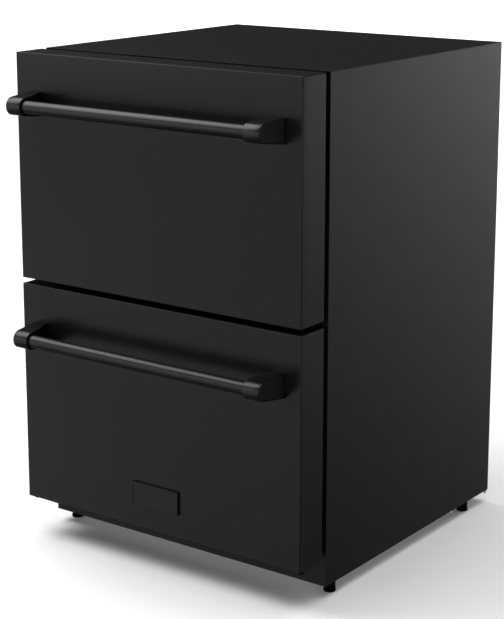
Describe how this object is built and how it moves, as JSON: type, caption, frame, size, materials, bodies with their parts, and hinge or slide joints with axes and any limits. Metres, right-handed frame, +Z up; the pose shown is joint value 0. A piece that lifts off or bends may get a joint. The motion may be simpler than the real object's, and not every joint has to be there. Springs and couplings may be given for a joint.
{
  "type": "undercounter freezer drawer",
  "caption": "Undercounter freezer with stacked pull-out drawers, bar handles, a kick plate and levelling feet.",
  "frame": {"origin": "on the floor, at the middle of the width and of the depth from the bars to the back", "axes": "+X to the right seen from the front, +Y to the back, +Z up"},
  "size_m": [0.596, 0.697, 0.876],
  "materials": {
    "black_coat": "matte black powder coat",
    "black_handle": "satin black metallic coat",
    "zinc_steel": "zinc-plated sheet steel",
    "white_liner": "vacuum-formed white plastic",
    "cream_foam": "rigid insulating foam",
    "compressor_paint": "thick black paint",
    "black_rubber": "soft matte rubber",
    "bare_aluminium": "bare aluminium fins and tube",
    "black_plastic": "textured black moulding",
    "white_plastic": "plain white moulding",
    "dark_glass": "smoked window",
    "grey_plastic": "satin grey caps",
    "light_lens": "frosted lens",
    "clear_bin": "frosted pale plastic"
  },
  "bodies": {
    "cabinet": {"left_side_panel": "black_coat", "right_side_panel": "black_coat", "top_panel": "black_coat", "back_panel": "black_coat", "base_pan": "zinc_steel", "kick_plate": "black_coat", "front_frame": "black_coat", "mullion": "white_liner", "inner_liner": "white_liner", "cabinet_foam": "cream_foam", "compressor": "compressor_paint", "compressor_grommets": "black_rubber", "condenser": "compressor_paint", "condenser_fan_shroud": "black_plastic", "evaporator": "bare_aluminium", "evaporator_cover": "white_liner", "evaporator_fan_motor": "black_plastic", "drip_tray": "black_plastic", "machine_cover": "black_coat", "controller_box": "white_plastic", "cord_gland": "black_plastic", "control_panel": "black_plastic", "display_window": "dark_glass", "light_strip": "light_lens", "upper_cabinet_rails": "zinc_steel", "lower_cabinet_rails": "zinc_steel"},
    "upper_drawer": {"upper_front_panel": "black_coat", "upper_front_casing": "black_coat", "upper_front_foam": "cream_foam", "upper_gasket": "black_rubber", "upper_handle_bar": "black_handle", "upper_left_bracket": "black_handle", "upper_right_bracket": "black_handle", "upper_handle_screws": "zinc_steel", "upper_drawer_rails": "zinc_steel", "upper_drawer_frame": "zinc_steel", "upper_bin": "clear_bin"},
    "upper_middle": {"upper_middle_rails": "zinc_steel"},
    "lower_drawer": {"lower_front_panel": "black_coat", "lower_front_casing": "black_coat", "lower_front_foam": "cream_foam", "lower_gasket": "black_rubber", "lower_handle_bar": "black_handle", "lower_left_bracket": "black_handle", "lower_right_bracket": "black_handle", "lower_handle_screws": "zinc_steel", "lower_drawer_rails": "zinc_steel", "lower_drawer_frame": "zinc_steel", "lower_bin": "clear_bin", "badge_plate": "black_handle"},
    "lower_middle": {"lower_middle_rails": "zinc_steel"},
    "condenser_fan": {"condenser_fan": "white_plastic"},
    "evaporator_fan": {"evaporator_fan": "white_plastic"},
    "colder_button": {"colder_button": "grey_plastic"},
    "warmer_button": {"warmer_button": "grey_plastic"},
    "light_button": {"light_button": "grey_plastic"},
    "front_left_foot": {"front_left_foot": "black_plastic"},
    "front_right_foot": {"front_right_foot": "black_plastic"},
    "rear_left_foot": {"rear_left_foot": "black_plastic"},
    "rear_right_foot": {"rear_right_foot": "black_plastic"}
  },
  "joints": [
    {"name": "upper_drawer_slide", "type": "slide", "parent": "cabinet", "child": "upper_drawer", "axis": [0, -1, 0], "range_m": [0, 0.4]},
    {"name": "upper_middle_slide", "type": "slide", "parent": "cabinet", "child": "upper_middle", "axis": [0, -1, 0], "range_m": [0, 0.2]},
    {"name": "lower_drawer_slide", "type": "slide", "parent": "cabinet", "child": "lower_drawer", "axis": [0, -1, 0], "range_m": [0, 0.4]},
    {"name": "lower_middle_slide", "type": "slide", "parent": "cabinet", "child": "lower_middle", "axis": [0, -1, 0], "range_m": [0, 0.2]},
    {"name": "condenser_fan_spin", "type": "hinge", "parent": "cabinet", "child": "condenser_fan", "pos_m": [-0.212, 0.2405, 0.1005], "axis": [1, 0, 0], "continuous": true},
    {"name": "evaporator_fan_spin", "type": "hinge", "parent": "cabinet", "child": "evaporator_fan", "pos_m": [0, 0.2442, 0.732], "axis": [0, 1, 0], "continuous": true},
    {"name": "colder_button_press", "type": "slide", "parent": "cabinet", "child": "colder_button", "axis": [0, 1, 0], "range_m": [0, 0.001], "stiffness_N_per_m": 400},
    {"name": "warmer_button_press", "type": "slide", "parent": "cabinet", "child": "warmer_button", "axis": [0, 1, 0], "range_m": [0, 0.001], "stiffness_N_per_m": 400},
    {"name": "light_button_press", "type": "slide", "parent": "cabinet", "child": "light_button", "axis": [0, 1, 0], "range_m": [0, 0.001], "stiffness_N_per_m": 400},
    {"name": "front_left_foot_height", "type": "slide", "parent": "cabinet", "child": "front_left_foot", "axis": [0, 0, -1], "range_m": [0, 0.02]},
    {"name": "front_right_foot_height", "type": "slide", "parent": "cabinet", "child": "front_right_foot", "axis": [0, 0, -1], "range_m": [0, 0.02]},
    {"name": "rear_left_foot_height", "type": "slide", "parent": "cabinet", "child": "rear_left_foot", "axis": [0, 0, -1], "range_m": [0, 0.02]},
    {"name": "rear_right_foot_height", "type": "slide", "parent": "cabinet", "child": "rear_right_foot", "axis": [0, 0, -1], "range_m": [0, 0.02]}
  ],
  "couplings": [
    {"joint": "upper_middle_slide", "follows": "upper_drawer_slide", "ratio": 0.5},
    {"joint": "lower_middle_slide", "follows": "lower_drawer_slide", "ratio": 0.5}
  ]
}
